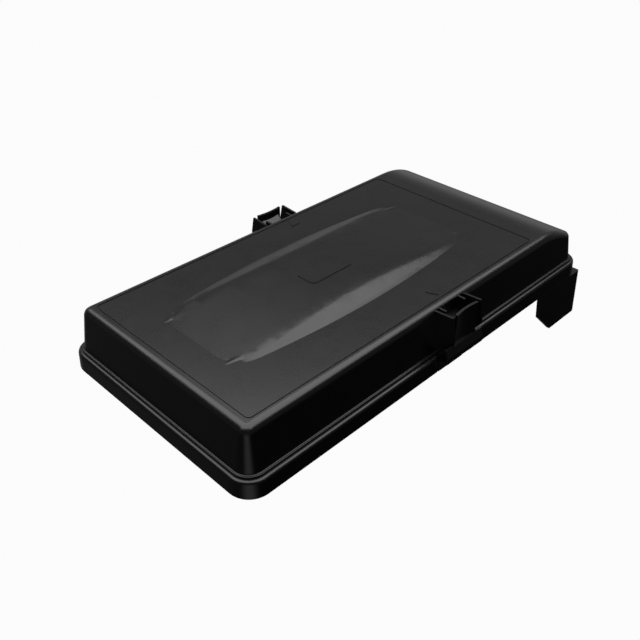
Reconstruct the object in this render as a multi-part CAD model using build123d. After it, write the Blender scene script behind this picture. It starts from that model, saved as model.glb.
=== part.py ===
"""Low lockable bait station with two side clips and an over-the-edge entrance porch.

The base is screwed to a ledge, beam or shelf and its porch hangs down past the edge, so that
rodents climb in from below.  The lid swings up about a hinge above the porch.  Inside are an
entry baffle, a lift-out bait tray and two wire rods that each carry a row of bait blocks.

Frame: +X towards the porch, +Y across, +Z up.  The origin is the centre of the base's
underside.  All sizes are in millimetres and all angles in degrees.
"""

import os
from math import radians, sqrt, tan

from build123d import *

# ---------------------------------------------------------------- base
base_length = 300.0
base_width = 157.0
corner_radius = 13.4
band_height = 11.0  # height of the outer skirt, the plain band round the bottom
band_draft = 3.3
band_round = 1.9
skirt_wall = 2.2
foot_round = 0.6
floor_thickness = 2.4
ledge_thickness = 2.4
inner_wall = 2.0
lip_height = 16.0  # top of the inner wall, which stands up inside the lid
lip_clearance = 0.6  # between the inner wall's top and the lid's wall
web_thickness = 1.6
web_count = 7

# ---------------------------------------------------------------- lid
seam_gap = 0.4  # open seam between the base band and the lid's rim
rim_height = 0.8
rim_inset = 3.0
rim_round = 0.35
lid_wall_inset = 4.3
lid_foot_round = 0.6
lid_draft = 9.0
lid_wall = 2.0
lid_height = 38.0  # top of the lid above the base's underside
roof_thickness = 2.2
roof_round = 4.8
roof_round_inside = 2.6
roof_drop_start = 39.0  # where the roof starts to curve down, from the porch end of the base
roof_drop_radius = 60.0
lid_rib_thickness = 1.4
lid_rib_drop = 2.6
lid_rib_root = 0.3  # below the roof's outer face
lid_rib_spacing = 100.0

# ---------------------------------------------------------------- roof details
groove_width = 0.8
groove_depth = 0.4
groove_near = 14.7  # from the near end, then from the porch end, then from each side
groove_far = 49.5
groove_side = 13.7
groove_corner = 3.5
crown_rise = 3.3  # the arched middle of the roof, above the flat panel
crown_length = 196.0
crown_width = 77.6  # over the feet of its flanks, at the middle
crown_end_width = 64.0  # the same, at its ends
crown_flank = 10.6  # run of one sloping flank, at the middle
crown_least_flank = 4.0  # the same, at its ends
crown_blend = 0.25  # share of a flank's run that is rounded, at its top and again at its foot
crown_fade = 1.4  # how gently the ridge comes down at its ends
crown_sink = 0.05  # how far its edge lies below the roof's face
crown_sections = 13
crown_shift = -20.0
crown_root = 0.5  # how far the crown's form reaches into the roof
pad_size = (34.0, 16.0)
pad_corner = 4.0
pad_rise = 0.35
pointer_size = 7.0
pointer_from_side = 23.0

# ---------------------------------------------------------------- side clips
clip_x = 9.2  # centre of both clips along the station
clip_plate_width = 19.2
clip_thickness = 1.5
clip_bow = 1.0
clip_stand_off = 4.4  # outer face of the plate, beyond the side of the base
clip_top = 38.3
clip_waist = 17.4  # where the flared skirt meets the plate
clip_belly_out = 6.2
clip_belly_low = 8.8
clip_belly_high = 12.2
clip_belly_round = 1.2
clip_skirt_width = 32.8
clip_foot_gap = 7.0
clip_arch_height = 8.0
clip_pin_radius = 1.2
clip_barrel_radius = 3.2
clip_pin_inset = 1.7
clip_pin_height = 3.4
clip_side_gap = 0.4
clip_hook_width = 14.0
clip_hook_tip = 1.3
clip_hook_root = 5.0
clip_cheek = 2.4
catch_bottom = 26.0
catch_height = 2.5
catch_out = 0.3
hook_reach = 2.2
hook_gap = 0.4

# ---------------------------------------------------------------- lid pockets and ears
ear_gap = 24.4  # between the two ears of one clip
ear_thickness = 1.4
ear_tip_out = 3.9
ear_belly_out = 6.0
ear_belly_low = 4.0  # above the pocket's floor, and so is the next
ear_belly_high = 8.5
ear_foot_in = 0.6  # into the lid's wall at the rim
ear_foot_back = 0.3  # from the rim's edge
ear_back_low = 0.9  # below the roof, where the ear meets the pocket's back
ear_back_root = 2.5
pocket_depth = 9.0
pocket_floor = 19.0
pocket_wall = 1.8
pocket_rib_spacing = 17.6
pocket_rib_thickness = 1.4
pocket_rib_end = 4.0
pocket_rib_top = 1.2  # below the roof
pin_end_gap = 0.2
pin_chamfer = 0.25

# ---------------------------------------------------------------- lid hinge
hinge_offset = 3.6  # pin axis beyond the end of the base
hinge_height = 10.9
hinge_barrel_radius = 3.2
hinge_pin_radius = 1.5
hinge_spacing = 70.0
hinge_lid_knuckle = 12.0
hinge_base_knuckle = 6.0
hinge_side_gap = 0.35

# ---------------------------------------------------------------- joins, cutters and fits
bite = 0.5  # how far a feature is sunk into the wall that carries it
over = 1.0  # how far a cutter runs past what it cuts
seal = 0.1  # overlap of two cutters that work as one
touch = 0.01  # two sizes nearer than this are taken as equal
fillet_share = 0.92  # of the largest radius that still fits
fixed_fit = 0.02  # radial, pin in the part that carries it
running_fit = 0.06  # radial, pin in the part that turns on it
slot_fit = 0.25

# ---------------------------------------------------------------- entrance porch
porch_length = 49.2  # from its near face to the end of the base
porch_overhang = 3.0
porch_ledge = 10.0  # depth at which its end wall steps out past the base
porch_depth = 32.4
porch_top = 0.5
porch_wall = 2.2
porch_corner = 5.0
porch_near_lean = 1.2
porch_near_depth = 15.9
porch_near_lip = 2.2  # the near side is open below this, towards the ledge's face
porch_mouth_run = 16.8
porch_fin_spacing = 52.0
porch_fin = 1.8
rung_pitch = 5.0
rung_size = 1.2
entry_setback = 3.0

# ---------------------------------------------------------------- fixing holes
hole_radius = 2.4
hole_boss_radius = 5.5
hole_boss_height = 1.2
hole_spacing_x = 180.0
hole_spacing_y = 120.0
hole_shift = -20.0

# ---------------------------------------------------------------- entry baffle
baffle_x = 88.0
baffle_thickness = 2.0
baffle_top_gap = 1.6
baffle_side_gap = 4.0
baffle_corner = 7.0
baffle_shoulder = 1.0  # below the inner wall's top
doorway_width = 32.0
doorway_height = 26.0
doorway_spacing = 88.0
doorway_round = 5.0
guide_height = 9.0
guide_thickness = 1.6
guide_reach = 7.0

# ---------------------------------------------------------------- bait tray, rods and blocks
tray_length = 196.0
tray_width = 104.0
tray_x = -31.0
tray_corner = 8.0
tray_wall = 1.6
tray_floor = 1.6
tray_height = 9.0
row_spacing = 46.0
block_length = 50.0
block_width = 27.0
block_height = 24.0
block_gap = 5.0
block_count = 3
block_hole_radius = 2.3
block_groove_radius = 1.6
block_groove_depth = 1.1
rod_radius = 1.6
rod_seat_fit = 0.15
rod_post_width = 11.0
rod_post_thickness = 4.0
rod_post_gap = 1.5
rod_post_rise = 3.0
rod_post_chamfer = 1.5
rod_tail = 4.0
rod_grip_rise = 9.0
rod_bend = 3.5
rod_stop_radius = 3.2
rod_stop_length = 5.5
rod_stop_round = 0.8
tray_locator = 14.0
tray_locator_height = 1.8
tray_locator_thickness = 1.6
block_chamfer = 1.2

# ---------------------------------------------------------------- service card in the lid
card_length = 104.0
card_width = 62.0
card_thickness = 0.6
card_x = -30.0
card_tab = 6.0
card_tab_drop = 1.4
card_post = 1.6
card_hook = 3.0

# ---------------------------------------------------------------- worked out from the above
half_length = base_length / 2
half_width = base_width / 2
rim_bottom = band_height + seam_gap
rim_top = rim_bottom + rim_height
lid_slope = tan(radians(lid_draft))
porch_slope = tan(radians(band_draft))
cavity_inset = lid_wall_inset + lid_wall - rim_height * lid_slope
roof_inside = lid_height - roof_thickness
roof_break = half_length - roof_drop_start
hinge_x = half_length + hinge_offset
porch_near = half_length - porch_length
porch_far = half_length + porch_overhang
inner_wall_inset = cavity_inset + (lip_height - rim_bottom) * lid_slope + lip_clearance
inner_half_length = half_length - inner_wall_inset - inner_wall
inner_half_width = half_width - inner_wall_inset - inner_wall
clip_axis_y = -half_width + clip_pin_inset
recess_half = clip_skirt_width / 2 + clip_side_gap
rod_height = floor_thickness + tray_floor + block_height / 2
row_length = block_count * block_length + (block_count - 1) * block_gap
post_x = row_length / 2 + rod_post_gap + rod_post_thickness / 2
FAR = 400.0  # longer than the station in every direction


def span_box(x0, x1, y0, y1, z0, z1):
    """A box given by its limits."""
    middle = Pos((x0 + x1) / 2, (y0 + y1) / 2, (z0 + z1) / 2)
    return middle * Box(abs(x1 - x0), abs(y1 - y0), abs(z1 - z0))


def inset_block(inset, z0, z1, draft=0.0):
    """The base's rounded outline, drawn in by an inset and raised from z0 to z1."""
    outline = RectangleRounded(base_length - 2 * inset, base_width - 2 * inset, corner_radius - inset)
    return extrude(Plane.XY.offset(z0) * outline, z1 - z0, taper=draft)


def prism_y(points, y0, y1):
    """A closed outline of (x, z) points, carried from y0 to y1."""
    face = make_face(Polyline(*[(x, 0, z) for x, z in points], close=True))
    return Pos(0, max(y0, y1), 0) * extrude(face, abs(y1 - y0), dir=(0, -1, 0))


def prism_x(points, x0, x1):
    """A closed outline of (y, z) points, carried from x0 to x1."""
    face = make_face(Polyline(*[(0, y, z) for y, z in points], close=True))
    return Pos(min(x0, x1), 0, 0) * extrude(face, abs(x1 - x0), dir=(1, 0, 0))


def rod_x(radius, x0, x1, y, z):
    """A round bar along X."""
    return Pos((x0 + x1) / 2, y, z) * Rot(0, 90, 0) * Cylinder(radius, abs(x1 - x0))


def rod_y(radius, y0, y1, x, z):
    """A round bar along Y."""
    return Pos(x, (y0 + y1) / 2, z) * Rot(90, 0, 0) * Cylinder(radius, abs(y1 - y0))


def side(out):
    """Y of a plane this far in from the -Y side of the base."""
    return -half_width + out


def both_sides(shape):
    """A feature of the -Y side, and its mirror image on the +Y side."""
    return [shape, mirror(shape, Plane.XZ)]


# ---------------------------------------------------------------- base


def porch_block(wall):
    """The porch's flared outline, drawn in by a wall, as a solid that is longer than the porch."""
    length = porch_length + porch_overhang + 2 * porch_corner
    outline = RectangleRounded(length - wall, base_width - 2 * wall, porch_corner - wall)
    place = Plane.XY.offset(porch_top) * Pos(porch_far - (length + wall) / 2, 0)
    return extrude(place * outline, -(porch_top + porch_depth + wall), taper=-band_draft)


def porch_shell():
    """The porch: two cheeks and an end wall that steps out past the base.

    It is open below and towards the ledge that the base stands on, apart from a low lip.
    """
    mouth_x = porch_near + porch_near_lean
    outer = porch_block(0.0) & prism_y(
        [
            (porch_near, porch_top),
            (porch_near, 0.0),
            (mouth_x, -porch_near_depth),
            (mouth_x + porch_mouth_run, -porch_depth),
            (FAR, -porch_depth),
            (FAR, -porch_ledge),
            (half_length, -porch_ledge),
            (half_length, porch_top),
        ],
        -FAR / 2,
        FAR / 2,
    )
    ceiling = porch_top - porch_wall
    hollow = porch_block(porch_wall) & prism_y(
        [
            (porch_near + porch_wall, ceiling),
            (porch_near + porch_wall, -porch_near_lip),
            (porch_near - over, -porch_near_lip),
            (porch_near - over, -2 * porch_depth),
            (FAR, -2 * porch_depth),
            (FAR, -porch_ledge - porch_wall),
            (half_length - porch_wall, -porch_ledge - porch_wall),
            (half_length - porch_wall, ceiling),
        ],
        -FAR / 2,
        FAR / 2,
    )
    shell = outer - hollow
    for sign in (-1, 1):
        y = sign * porch_fin_spacing / 2
        fin = span_box(porch_near, FAR, y - porch_fin / 2, y + porch_fin / 2, -porch_depth, porch_top)
        shell += fin & outer
    rung_count = int((porch_depth - 2 * rung_pitch) / rung_pitch)
    for step in range(1, rung_count + 1):
        z = -porch_depth + step * rung_pitch
        face = porch_far - porch_wall + (porch_top - z) * porch_slope
        half = half_width - porch_wall
        shell += span_box(face - rung_size, face + porch_wall / 2, -half, half, z, z + rung_size)
    return shell


def hinge_stations():
    """Middle of each of the two lid hinges, along Y."""
    return [-hinge_spacing / 2, hinge_spacing / 2]


def base_hinge_posts():
    """Two posts for each hinge, carried by the base's end."""
    posts = []
    inner = hinge_lid_knuckle / 2 + hinge_side_gap
    outer = inner + hinge_base_knuckle
    for y in hinge_stations():
        for y0, y1 in ((y - outer, y - inner), (y + inner, y + outer)):
            post = span_box(half_length - band_round, hinge_x, y0, y1, foot_round, hinge_height)
            foot = span_box(hinge_x, hinge_x + hinge_barrel_radius, y0, y1, foot_round, hinge_height)
            posts.append(post + foot + rod_y(hinge_barrel_radius, y0, y1, hinge_x, hinge_height))
    return posts


def clip_mount():
    """What the base adds for one clip: two cheeks and a middle knuckle."""
    z_top = band_height - ledge_thickness
    cheeks = []
    for sign in (-1, 1):
        x0 = clip_x + sign * recess_half
        x1 = x0 + sign * clip_cheek
        root = side(inner_wall_inset + bite)
        cheeks.append(span_box(x0, x1, side(skirt_wall / 2), root, 0.0, z_top + bite))
    reach = clip_foot_gap / 2 - clip_side_gap
    knuckle = rod_x(clip_barrel_radius, clip_x - reach, clip_x + reach, clip_axis_y, clip_pin_height)
    web = span_box(
        clip_x - reach,
        clip_x + reach,
        clip_axis_y,
        side(inner_wall_inset + bite),
        clip_pin_height - clip_barrel_radius,
        clip_pin_height + clip_barrel_radius,
    )
    return cheeks, knuckle + web


def make_base():
    """The moulded tray: skirt, floor, inner wall, porch, hinge posts and clip mounts."""
    skirt = inset_block(0.0, 0.0, band_height, band_draft)
    skirt = fillet(skirt.faces().sort_by(Axis.Z)[-1].edges(), band_round)
    skirt = fillet(skirt.faces().sort_by(Axis.Z)[0].edges(), foot_round)
    channel_top = band_height - ledge_thickness
    channel = inset_block(skirt_wall, -over, channel_top)
    channel -= inset_block(inner_wall_inset, -over, channel_top)
    body = skirt - channel
    body += inset_block(inner_wall_inset, 0.0, lip_height)
    body -= inset_block(inner_wall_inset + inner_wall, floor_thickness, lip_height + over)

    web_step = (base_length - porch_length - 2 * corner_radius) / (web_count - 1)
    for index in range(web_count):
        x = -half_length + corner_radius + index * web_step
        if abs(x - clip_x) > recess_half + clip_cheek + web_thickness:
            web = span_box(
                x - web_thickness / 2,
                x + web_thickness / 2,
                side(skirt_wall / 2),
                side(inner_wall_inset + bite),
                0.0,
                channel_top + bite,
            )
            for shape in both_sides(web):
                body += shape

    body += porch_shell()
    entry = span_box(
        porch_near + porch_near_lean + porch_wall + entry_setback,
        inner_half_length - bite,
        -inner_half_width + entry_setback,
        inner_half_width - entry_setback,
        porch_top - porch_wall - over,
        floor_thickness + over,
    )
    for sign in (-1, 1):
        y = sign * porch_fin_spacing / 2
        entry -= span_box(0, FAR, y - porch_fin / 2, y + porch_fin / 2, -FAR, FAR)
    body -= entry
    for post in base_hinge_posts():
        body += post
    for y in hinge_stations():
        reach = hinge_lid_knuckle / 2 + hinge_side_gap + hinge_base_knuckle + over
        body -= rod_y(hinge_pin_radius + fixed_fit, y - reach, y + reach, hinge_x, hinge_height)

    recess = span_box(
        clip_x - recess_half,
        clip_x + recess_half,
        side(-FAR),
        side(inner_wall_inset),
        -over,
        band_height + over,
    )
    for shape in both_sides(recess):
        body -= shape
    cheeks, knuckle = clip_mount()
    for piece in cheeks + [knuckle]:
        for shape in both_sides(piece):
            body += shape
    pin_half = recess_half + clip_cheek
    bore_radius = clip_pin_radius + fixed_fit
    bore = rod_x(bore_radius, clip_x - pin_half, clip_x + pin_half, clip_axis_y, clip_pin_height)
    for shape in both_sides(bore):
        body -= shape

    top = floor_thickness + hole_boss_height
    for x in (hole_shift - hole_spacing_x / 2, hole_shift + hole_spacing_x / 2):
        for y in (-hole_spacing_y / 2, hole_spacing_y / 2):
            body += Pos(x, y, top / 2) * Cylinder(hole_boss_radius, top)
            body -= Pos(x, y, top / 2) * Cylinder(hole_radius, top + 2 * over)

    locator_top = floor_thickness + tray_locator_height
    for sign in (-1, 1):
        y0 = tray_width / 2 + slot_fit
        x0 = tray_x + sign * (tray_length / 2 - tray_corner - tray_locator)
        x1 = x0 + sign * tray_locator
        locator = span_box(x0, x1, -y0, -y0 - tray_locator_thickness, bite, locator_top)
        for shape in both_sides(locator):
            body += shape
        x0 = tray_x + sign * (tray_length / 2 + slot_fit)
        x1 = x0 + sign * tray_locator_thickness
        body += span_box(x0, x1, -tray_locator / 2, tray_locator / 2, bite, locator_top)

    gap = baffle_thickness / 2 + slot_fit
    for sign in (-1, 1):
        x0 = baffle_x + sign * gap
        x1 = x0 + sign * guide_thickness
        root = -inner_half_width - bite
        guide = span_box(x0, x1, root, -inner_half_width + guide_reach, bite, guide_height)
        for shape in both_sides(guide):
            body += shape
    return body


# ---------------------------------------------------------------- lid


def lid_form(inset, z_bottom, z_roof, drop_radius, round_radius):
    """Drafted walls under a flat roof that curves down towards the porch end."""
    walls = inset_block(inset, z_bottom, z_roof + 2 * over, lid_draft)
    profile = [
        Line((-FAR, 0, z_bottom - over), (-FAR, 0, z_roof)),
        Line((-FAR, 0, z_roof), (roof_break, 0, z_roof)),
    ]
    drop = half_length - roof_break
    end_z = z_roof - drop_radius + sqrt(drop_radius**2 - drop**2)
    middle = drop / 2
    middle_z = z_roof - drop_radius + sqrt(drop_radius**2 - middle**2)
    profile.append(
        ThreePointArc(
            (roof_break, 0, z_roof),
            (roof_break + middle, 0, middle_z),
            (half_length, 0, end_z),
        )
    )
    profile.append(Line((half_length, 0, end_z), (half_length, 0, z_bottom - over)))
    profile.append(Line((half_length, 0, z_bottom - over), (-FAR, 0, z_bottom - over)))
    roof = Pos(0, FAR / 2, 0) * extrude(make_face(Wire(profile)), FAR, dir=(0, -1, 0))
    body = walls & roof
    rounded = []
    for edge in body.edges():
        box = edge.bounding_box()
        is_break = abs(edge.center().X - roof_break) < touch and box.size.Y > base_width / 2
        if box.min.Z > z_bottom + over and not is_break:
            rounded.append(edge)
    wall_limit = corner_radius - inset - (z_roof - z_bottom) * lid_slope
    return fillet(rounded, min(round_radius, fillet_share * wall_limit))


def flank_share(share):
    """Height gained on the way up a flank: a slope that is rounded at its foot and its top."""
    slope = 1 / (1 - crown_blend)
    if share < crown_blend:
        return slope * share**2 / (2 * crown_blend)
    if share > 1 - crown_blend:
        return 1 - slope * (1 - share) ** 2 / (2 * crown_blend)
    return slope * (share - crown_blend / 2)


def crown_section(along):
    """The crown's cross-section; along runs from -1 at its near end to 1 at its far end."""
    height = crown_rise * (1 - along**2) ** crown_fade
    foot_line = crown_width / 2 - (crown_width - crown_end_width) / 2 * along**2
    flank = max(crown_flank * height / crown_rise, crown_least_flank)
    run = flank / (1 - crown_blend)
    foot = foot_line + (run - flank) / 2
    x = crown_shift + along * crown_length / 2
    base = lid_height - crown_sink
    steps = 8
    half = []
    for step in range(steps + 1):
        half.append((foot - run * step / steps, base + height * flank_share(step / steps)))
    half.append((half[-1][0] / 2, base + height))
    points = [(x, -y, z) for y, z in half] + [(x, 0.0, base + height)]
    points += [(x, y, z) for y, z in reversed(half)]
    low = lid_height - crown_root
    edge = Polyline((x, foot, base), (x, foot, low), (x, -foot, low), (x, -foot, base))
    return make_face(Wire([Spline(*points), *edge.edges()]))


def crown_form():
    """The roof's arched middle, with two lens-shaped flanks that fade out at both ends."""
    last = crown_sections - 1
    return loft([crown_section(2 * index / last - 1) for index in range(crown_sections)])


def groove_ring():
    """The fine engraved line round the roof's panel."""
    x0 = -half_length + groove_near
    x1 = half_length - groove_far
    width = base_width - 2 * groove_side
    place = Plane.XY.offset(lid_height - groove_depth) * Pos((x0 + x1) / 2, 0)
    outer = RectangleRounded(x1 - x0 + groove_width, width + groove_width, groove_corner)
    inner_corner = groove_corner - groove_width
    inner = RectangleRounded(x1 - x0 - groove_width, width - groove_width, inner_corner)
    return extrude(place * outer, 2 * over) - extrude(place * inner, 2 * over)


def roof_marks(crown):
    """A plain raised pad on the crown and, by each clip, a plain raised pointer."""
    place = Plane.XY.offset(lid_height + crown_rise - bite) * Pos(crown_shift, 0)
    pad = extrude(place * RectangleRounded(*pad_size, pad_corner), 2 * bite)
    marks = [pad & (Pos(0, 0, pad_rise) * crown)]
    place = Plane.XY.offset(lid_height - bite)
    tip = side(pointer_from_side - pointer_size)
    back = side(pointer_from_side)
    outline = Polyline(
        (clip_x, tip),
        (clip_x + pointer_size / 2, back),
        (clip_x - pointer_size / 2, back),
        close=True,
    )
    pointer = extrude(place * make_face(outline), bite + pad_rise)
    return marks + both_sides(pointer)


def clip_pocket():
    """What the lid has for one clip: a lined pocket, two ears, two ribs and the catch bar."""
    half = ear_gap / 2
    liner = span_box(
        clip_x - half - pocket_wall,
        clip_x + half + pocket_wall,
        side(-over),
        side(pocket_depth + pocket_wall),
        pocket_floor - pocket_wall,
        lid_height + over,
    )
    cut = span_box(
        clip_x - half,
        clip_x + half,
        side(-FAR),
        side(pocket_depth),
        pocket_floor,
        lid_height + crown_rise + over,
    )
    wall_middle = lid_wall_inset + lid_wall / 2 + (pocket_floor - rim_top) * lid_slope
    ear_outline = [
        (side(lid_wall_inset + ear_foot_in), rim_top - rim_height / 2),
        (side(rim_inset + ear_foot_back), rim_top - rim_height / 2),
        (side(-ear_belly_out), pocket_floor + ear_belly_low),
        (side(-ear_belly_out), pocket_floor + ear_belly_high),
        (side(-ear_tip_out), lid_height),
        (side(pocket_depth - bite), lid_height - ear_back_low),
        (side(pocket_depth + bite), lid_height - ear_back_root),
        (side(pocket_depth + bite), pocket_floor),
        (side(wall_middle), pocket_floor),
    ]
    additions = []
    for sign in (-1, 1):
        x0 = clip_x + sign * half
        additions.append(prism_x(ear_outline, x0, x0 + sign * ear_thickness))
        rib = clip_x + sign * pocket_rib_spacing / 2
        additions.append(
            span_box(
                rib - pocket_rib_thickness / 2,
                rib + pocket_rib_thickness / 2,
                side(pocket_rib_end),
                side(pocket_depth + bite),
                pocket_floor - bite,
                lid_height - pocket_rib_top,
            )
        )
    bar_half = pocket_rib_spacing / 2
    additions.append(
        span_box(
            clip_x - bar_half,
            clip_x + bar_half,
            side(catch_out),
            side(pocket_depth + bite),
            catch_bottom,
            catch_bottom + catch_height,
        )
    )
    return liner, cut, additions


def card_tabs():
    """Four forked corner tabs under the crown that hold the service card."""
    tabs = []
    z_tab = roof_inside - card_thickness - slot_fit
    root = roof_inside + crown_rise
    for sx in (-1, 1):
        for sy in (-1, 1):
            x = card_x + sx * (card_length / 2 + slot_fit)
            back = x + sx * card_post
            tip = x - sx * card_hook
            y = sy * (card_width / 2 + slot_fit)
            y_end = y - sy * card_tab
            tab = span_box(x, back, y_end, y, z_tab - card_tab_drop, root)
            tab += span_box(back, tip, y_end, y, z_tab - card_tab_drop, z_tab)
            tab += span_box(back, tip, y_end, y, roof_inside, root)
            tabs.append(tab)
    return tabs


def lid_ribs():
    """Shallow ribs under the roof: two along it, and one across at each end of the card."""
    z0 = roof_inside - lid_rib_drop
    half = lid_rib_thickness / 2
    end = card_length / 2 + 4 * card_tab
    root = lid_height - lid_rib_root
    ribs = []
    for y in (-lid_rib_spacing / 2, lid_rib_spacing / 2):
        ribs.append(span_box(card_x - end, card_x + end, y - half, y + half, z0, root))
    for x in (card_x - end, card_x + end):
        reach = lid_rib_spacing / 2
        ribs.append(span_box(x - half, x + half, -reach, reach, z0, root))
    return ribs


def level_face(body, z):
    """The first level face of a body at a height."""
    return body.faces().filter_by(Axis.Z).filter_by(lambda face: abs(face.center().Z - z) < touch)[0]


def make_lid():
    """The moulded lid: rim, drafted walls, roof, clip pockets and hinge knuckles."""
    outer = lid_form(lid_wall_inset, rim_top, lid_height, roof_drop_radius, roof_round)
    body = outer + inset_block(rim_inset, rim_bottom, rim_top)
    shelf = level_face(body, rim_top)
    body = fillet(shelf.inner_wires()[0].edges(), lid_foot_round)
    shelf = level_face(body, rim_top)
    body = fillet(shelf.outer_wire().edges(), rim_round)

    cavity_drop = roof_drop_radius - roof_thickness
    cavity = lid_form(cavity_inset, rim_bottom, roof_inside, cavity_drop, roof_round_inside)
    cavity += inset_block(cavity_inset, rim_bottom - over, rim_bottom + seal)
    body -= cavity

    liner, cut, additions = clip_pocket()
    for shape in both_sides(liner & outer):
        body += shape
    for shape in both_sides(cut):
        body -= shape
    for piece in additions:
        for shape in both_sides(piece):
            body += shape

    crown = crown_form()
    body += crown
    body -= Pos(0, 0, -roof_thickness) * crown
    body -= groove_ring()
    for mark in roof_marks(crown):
        body += mark
    for piece in card_tabs() + lid_ribs():
        body += piece

    arm_root = half_length - lid_wall_inset - lid_wall / 2
    for y in hinge_stations():
        y0 = y - hinge_lid_knuckle / 2
        y1 = y + hinge_lid_knuckle / 2
        body += span_box(arm_root, hinge_x, y0, y1, rim_bottom, hinge_height + hinge_barrel_radius)
        body += rod_y(hinge_barrel_radius, y0, y1, hinge_x, hinge_height)
        body -= rod_y(hinge_pin_radius + running_fit, y0 - over, y1 + over, hinge_x, hinge_height)
    return body


# ---------------------------------------------------------------- clips and pins


def clip_plate():
    """The upright plate of a clip, bowed in plan, hollow on its outer face."""
    half = clip_plate_width / 2
    bow_radius = (half**2 + clip_bow**2) / (2 * clip_bow)
    centre = Pos(clip_x, side(-clip_stand_off + clip_bow - bow_radius))
    ring = Circle(bow_radius + clip_thickness) - Circle(bow_radius)
    strip = Pos(clip_x, side(0.0)) * Rectangle(clip_plate_width, 4 * clip_stand_off)
    foot = clip_waist - over
    return extrude(Plane.XY.offset(foot) * ((centre * ring) & strip), clip_top - foot)


def make_clip():
    """One side clip, for the -Y side: plate, hook, flared skirt and two barrelled feet."""
    barrel_out = clip_barrel_radius - clip_pin_inset
    outer = [
        (barrel_out, clip_pin_height),
        (clip_belly_out, clip_belly_low),
        (clip_belly_out, clip_belly_high),
        (clip_stand_off, clip_waist),
    ]
    inner = [
        (clip_stand_off - clip_thickness, clip_waist),
        (clip_belly_out - clip_thickness, clip_belly_high - clip_thickness / 2),
        (clip_belly_out - clip_thickness, clip_belly_low + clip_thickness / 2),
        (-clip_pin_inset, clip_pin_height + clip_barrel_radius),
    ]
    outline = [(side(-out), z) for out, z in outer + inner]
    half = clip_skirt_width / 2
    body = prism_x(outline, clip_x - half, clip_x + half)
    body = fillet(body.edges().filter_by(Axis.X).sort_by(Axis.Y)[:2], clip_belly_round)
    body += rod_x(clip_barrel_radius, clip_x - half, clip_x + half, clip_axis_y, clip_pin_height)
    arch = clip_foot_gap / 2
    body -= span_box(clip_x - arch, clip_x + arch, side(-FAR), side(FAR / 4), -over, clip_arch_height)
    body -= rod_y(arch, side(-FAR / 4), side(FAR / 4), clip_x, clip_arch_height)
    body += clip_plate()
    hook_z = catch_bottom + catch_height + hook_gap
    hook_root = side(-clip_stand_off + clip_bow + clip_thickness / 2)
    body += prism_x(
        [
            (hook_root, hook_z),
            (side(hook_reach), hook_z),
            (side(hook_reach), hook_z + clip_hook_tip),
            (hook_root, hook_z + clip_hook_root),
        ],
        clip_x - clip_hook_width / 2,
        clip_x + clip_hook_width / 2,
    )
    bore_radius = clip_pin_radius + running_fit
    body -= rod_x(bore_radius, clip_x - FAR / 4, clip_x + FAR / 4, clip_axis_y, clip_pin_height)
    return body


def make_clip_pin():
    """The steel pin of one clip, held in the two cheeks and the middle knuckle."""
    pin_half = recess_half + clip_cheek - pin_end_gap
    pin = rod_x(clip_pin_radius, clip_x - pin_half, clip_x + pin_half, clip_axis_y, clip_pin_height)
    return chamfer(pin.edges().filter_by(GeomType.CIRCLE), pin_chamfer)


def make_hinge_pin(y):
    """The steel pin of one lid hinge."""
    reach = hinge_lid_knuckle / 2 + hinge_side_gap + hinge_base_knuckle
    pin = rod_y(hinge_pin_radius, y - reach, y + reach, hinge_x, hinge_height)
    return chamfer(pin.edges().filter_by(GeomType.CIRCLE), pin_chamfer)


# ---------------------------------------------------------------- inside


def make_baffle():
    """The plate between porch and bait, with one doorway at each side."""
    cavity_half = half_width - cavity_inset - (roof_inside - rim_bottom) * lid_slope
    top_half = cavity_half - baffle_side_gap
    height = roof_inside - baffle_top_gap - floor_thickness
    foot_half = inner_half_width - slot_fit
    x0 = baffle_x - baffle_thickness / 2
    x1 = x0 + baffle_thickness
    plate = span_box(x0, x1, -top_half, top_half, floor_thickness, floor_thickness + height)
    plate = fillet(plate.edges().filter_by(Axis.X).group_by(Axis.Z)[-1], baffle_corner)
    shoulder = lip_height - baffle_shoulder
    plate += span_box(x0, x1, -foot_half, foot_half, floor_thickness, shoulder)
    for sign in (-1, 1):
        y = sign * doorway_spacing / 2
        door = span_box(
            x0 - over,
            x1 + over,
            y - doorway_width / 2,
            y + doorway_width / 2,
            floor_thickness - over,
            floor_thickness + doorway_height,
        )
        plate -= fillet(door.edges().filter_by(Axis.X).group_by(Axis.Z)[-1], doorway_round)
    return plate


def make_tray():
    """The lift-out bait tray, with two notched posts for each rod."""
    place = Plane.XY.offset(floor_thickness) * Pos(tray_x, 0)
    body = extrude(place * RectangleRounded(tray_length, tray_width, tray_corner), tray_height)
    inner_length = tray_length - 2 * tray_wall
    inner_width = tray_width - 2 * tray_wall
    inner = RectangleRounded(inner_length, inner_width, tray_corner - tray_wall)
    body -= extrude(Plane.XY.offset(floor_thickness + tray_floor) * Pos(tray_x, 0) * inner, tray_height)
    seat = rod_radius + rod_seat_fit
    top = rod_height + rod_post_rise
    for y in (-row_spacing / 2, row_spacing / 2):
        for sign in (-1, 1):
            x = tray_x + sign * post_x
            post = span_box(
                x - rod_post_thickness / 2,
                x + rod_post_thickness / 2,
                y - rod_post_width / 2,
                y + rod_post_width / 2,
                floor_thickness + tray_floor / 2,
                top,
            )
            post = chamfer(post.edges().filter_by(Axis.X).group_by(Axis.Z)[-1], rod_post_chamfer)
            x0 = x - rod_post_thickness
            x1 = x + rod_post_thickness
            post -= rod_x(seat, x0, x1, y, rod_height)
            post -= span_box(x0, x1, y - seat, y + seat, rod_height, top + over)
            body += post
    return body


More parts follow.
